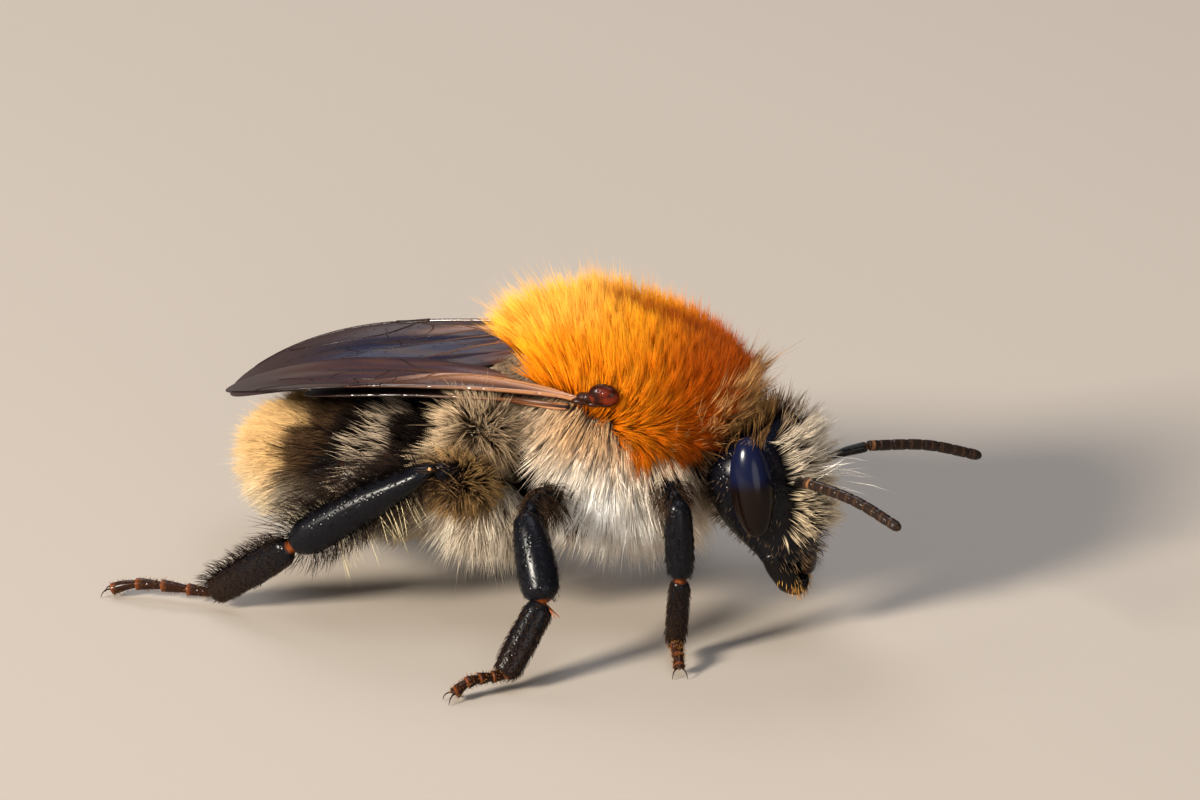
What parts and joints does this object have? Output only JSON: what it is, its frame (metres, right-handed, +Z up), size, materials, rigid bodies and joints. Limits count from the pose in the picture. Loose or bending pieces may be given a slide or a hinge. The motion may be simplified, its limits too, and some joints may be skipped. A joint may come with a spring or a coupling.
{
  "type": "bumblebee model",
  "caption": "Life-size standing queen carder bumblebee with a furry trunk, folded wings, elbowed antennae and walking legs.",
  "frame": {"origin": "middle of the outline's box on the floor the feet stand on", "axes": "+X towards the head, +Y to the bee's left, +Z up"},
  "size_m": [0.024, 0.0158, 0.0098],
  "materials": {
    "thorax_coat": "ginger hair over black shell, cream below",
    "abdomen_coat": "banded grey, black and buff hair",
    "head_coat": "grey-buff hair over black shell",
    "chitin": "polished black shell",
    "eye": "glossy near-black compound eye",
    "wing": "smoky brown membrane"
  },
  "bodies": {
    "root": {"abdomen_1": "abdomen_coat", "abdomen_2": "abdomen_coat", "abdomen_3": "abdomen_coat", "abdomen_4": "abdomen_coat", "abdomen_5": "abdomen_coat", "abdomen_6": "abdomen_coat", "basitarsus_front_left": "chitin", "basitarsus_front_right": "chitin", "basitarsus_hind_left": "chitin", "basitarsus_hind_right": "chitin", "basitarsus_mid_left": "chitin", "basitarsus_mid_right": "chitin", "eye_left": "eye", "eye_right": "eye", "femur_front_left": "chitin", "femur_front_right": "chitin", "femur_hind_left": "chitin", "femur_hind_right": "chitin", "femur_mid_left": "chitin", "femur_mid_right": "chitin", "flagellum_left": "chitin", "flagellum_right": "chitin", "forewing_left": "wing", "forewing_right": "wing", "head": "head_coat", "hindwing_left": "wing", "hindwing_right": "wing", "mandible_left": "chitin", "mandible_right": "chitin", "scape_left": "chitin", "scape_right": "chitin", "tarsus_front_left": "chitin", "tarsus_front_right": "chitin", "tarsus_hind_left": "chitin", "tarsus_hind_right": "chitin", "tarsus_mid_left": "chitin", "tarsus_mid_right": "chitin", "tegula_left": "chitin", "tegula_right": "chitin", "thorax": "thorax_coat", "tibia_front_left": "chitin", "tibia_front_right": "chitin", "tibia_hind_left": "chitin", "tibia_hind_right": "chitin", "tibia_mid_left": "chitin", "tibia_mid_right": "chitin"}
  },
  "joints": []
}
